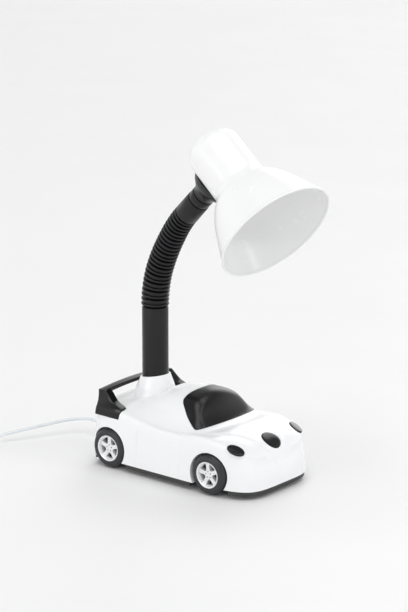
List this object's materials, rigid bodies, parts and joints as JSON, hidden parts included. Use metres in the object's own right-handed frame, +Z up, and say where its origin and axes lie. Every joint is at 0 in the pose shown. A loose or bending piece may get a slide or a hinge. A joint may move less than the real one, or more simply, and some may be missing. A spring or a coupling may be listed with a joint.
{
  "type": "car-shaped desk lamp",
  "caption": "Child's desk lamp: a toy sports car with rolling wheels and a nose button carries a ribbed gooseneck and a bell-shaped shade.",
  "frame": {"origin": "on the table, at the centre of the underside of the pad that the lamp stands on, under the middle of the wheelbase", "axes": "+Z up, +X toward the car's nose, +Y toward the car's left side"},
  "size_m": [0.4237, 0.1958, 0.3172],
  "materials": {
    "white_body": "moulded gloss white",
    "white_shade": "gloss white enamel",
    "gloss_black": "polished black",
    "neck_black": "satin black",
    "base_black": "fine matt black",
    "pad_rubber": "foam rubber",
    "tyre_rubber": "moulded black",
    "rim_silver": "silver paint",
    "steel": "zinc plated",
    "weight_iron": "as cast",
    "holder_plastic": "moulded off-white",
    "brass": "plated",
    "cord_vinyl": "clear vinyl over white"
  },
  "bodies": {
    "base": {"body_shell": "white_body", "base_plate": "base_black", "foam_pad": "pad_rubber", "counterweight": "weight_iron", "windscreen": "gloss_black", "headlight_left": "gloss_black", "headlight_right": "gloss_black", "spoiler": "gloss_black", "lower_tube": "neck_black", "gooseneck_core": "steel", "core_nut": "steel", "bearing_front_left": "base_black", "bearing_front_right": "base_black", "bearing_rear_left": "base_black", "bearing_rear_right": "base_black", "switch_body": "base_black", "terminal_block": "holder_plastic", "supply_lead": "cord_vinyl", "cord_gland": "base_black", "base_screw_1": "steel", "base_screw_2": "steel", "base_screw_3": "steel", "base_screw_4": "steel", "cord": "cord_vinyl", "cord_coil": "cord_vinyl", "plug_body": "cord_vinyl", "plug_blade_left": "brass", "plug_blade_right": "brass"},
    "front_wheels": {"front_axle": "steel", "rim_front_left": "rim_silver", "rim_front_right": "rim_silver", "tyre_front_left": "tyre_rubber", "tyre_front_right": "tyre_rubber"},
    "rear_wheels": {"rear_axle": "steel", "rim_rear_left": "rim_silver", "rim_rear_right": "rim_silver", "tyre_rear_left": "tyre_rubber", "tyre_rear_right": "tyre_rubber"},
    "button": {"switch_button": "gloss_black"},
    "neck_01": {"neck_ribs_01": "neck_black"},
    "neck_02": {"neck_ribs_02": "neck_black"},
    "neck_03": {"neck_ribs_03": "neck_black"},
    "neck_04": {"neck_ribs_04": "neck_black"},
    "neck_05": {"neck_ribs_05": "neck_black"},
    "neck_06": {"neck_ribs_06": "neck_black"},
    "neck_07": {"neck_ribs_07": "neck_black"},
    "neck_08": {"neck_ribs_08": "neck_black"},
    "neck_09": {"neck_ribs_09": "neck_black"},
    "neck_10": {"neck_ribs_10": "neck_black"},
    "neck_11": {"neck_ribs_11": "neck_black"},
    "head": {"neck_ribs_12": "neck_black", "neck_sleeve": "neck_black", "neck_ring": "neck_black", "saddle": "neck_black", "shade": "white_shade", "head_nipple": "steel", "head_nut": "steel", "lamp_holder": "holder_plastic", "socket_shell": "brass", "socket_contact": "brass"}
  },
  "joints": [
    {"name": "front_axle_turn", "type": "hinge", "parent": "base", "child": "front_wheels", "pos_m": [0.058, 0, 0.0187], "axis": [0, 1, 0], "continuous": true},
    {"name": "rear_axle_turn", "type": "hinge", "parent": "base", "child": "rear_wheels", "pos_m": [-0.058, 0, 0.0187], "axis": [0, 1, 0], "continuous": true},
    {"name": "switch_press", "type": "slide", "parent": "base", "child": "button", "axis": [-0.5311, 0, -0.8473], "range_m": [0, 0.0022], "stiffness_N_per_m": 400, "springref_m": -0.001},
    {"name": "neck_bend_1", "type": "hinge", "parent": "base", "child": "neck_01", "pos_m": [-0.046, 0, 0.144], "axis": [0.1513, 0.9885, 0], "range_deg": [-8, 8]},
    {"name": "neck_lean_1", "type": "hinge", "parent": "neck_01", "child": "neck_02", "pos_m": [-0.04563, -0.00006, 0.15259], "axis": [0.9847, -0.1507, -0.0877], "range_deg": [-8, 8]},
    {"name": "neck_bend_2", "type": "hinge", "parent": "neck_02", "child": "neck_03", "pos_m": [-0.04451, -0.00023, 0.16111], "axis": [0.1513, 0.9885, 0], "range_deg": [-8, 8]},
    {"name": "neck_lean_2", "type": "hinge", "parent": "neck_03", "child": "neck_04", "pos_m": [-0.04266, -0.00051, 0.1695], "axis": [0.9545, -0.1461, -0.2599], "range_deg": [-8, 8]},
    {"name": "neck_bend_3", "type": "hinge", "parent": "neck_04", "child": "neck_05", "pos_m": [-0.0401, -0.0009, 0.1777], "axis": [0.1513, 0.9885, 0], "range_deg": [-8, 8]},
    {"name": "neck_lean_3", "type": "hinge", "parent": "neck_05", "child": "neck_06", "pos_m": [-0.03685, -0.0014, 0.18565], "axis": [0.9002, -0.1378, -0.413], "range_deg": [-8, 8]},
    {"name": "neck_bend_4", "type": "hinge", "parent": "neck_06", "child": "neck_07", "pos_m": [-0.03313, -0.00197, 0.19338], "axis": [0.1513, 0.9885, 0], "range_deg": [-8, 8]},
    {"name": "neck_lean_4", "type": "hinge", "parent": "neck_07", "child": "neck_08", "pos_m": [-0.029, -0.0026, 0.20089], "axis": [0.8504, -0.1301, -0.5097], "range_deg": [-8, 8]},
    {"name": "neck_bend_5", "type": "hinge", "parent": "neck_08", "child": "neck_09", "pos_m": [-0.02454, -0.00328, 0.20821], "axis": [0.1513, 0.9885, 0], "range_deg": [-8, 8]},
    {"name": "neck_lean_5", "type": "hinge", "parent": "neck_09", "child": "neck_10", "pos_m": [-0.01983, -0.004, 0.21538], "axis": [0.8136, -0.1245, -0.5679], "range_deg": [-8, 8]},
    {"name": "neck_bend_6", "type": "hinge", "parent": "neck_10", "child": "neck_11", "pos_m": [-0.01483, -0.00477, 0.22232], "axis": [0.1513, 0.9885, 0], "range_deg": [-8, 8]},
    {"name": "neck_lean_6", "type": "hinge", "parent": "neck_11", "child": "head", "pos_m": [-0.00936, -0.00561, 0.22891], "axis": [0.7318, -0.112, -0.6722], "range_deg": [-8, 8]}
  ],
  "couplings": [
    {"joint": "neck_bend_2", "follows": "neck_bend_1", "ratio": 1},
    {"joint": "neck_lean_2", "follows": "neck_lean_1", "ratio": 1},
    {"joint": "neck_bend_3", "follows": "neck_bend_1", "ratio": 1},
    {"joint": "neck_lean_3", "follows": "neck_lean_1", "ratio": 1},
    {"joint": "neck_bend_4", "follows": "neck_bend_1", "ratio": 1},
    {"joint": "neck_lean_4", "follows": "neck_lean_1", "ratio": 1},
    {"joint": "neck_bend_5", "follows": "neck_bend_1", "ratio": 1},
    {"joint": "neck_lean_5", "follows": "neck_lean_1", "ratio": 1},
    {"joint": "neck_bend_6", "follows": "neck_bend_1", "ratio": 1},
    {"joint": "neck_lean_6", "follows": "neck_lean_1", "ratio": 1}
  ]
}
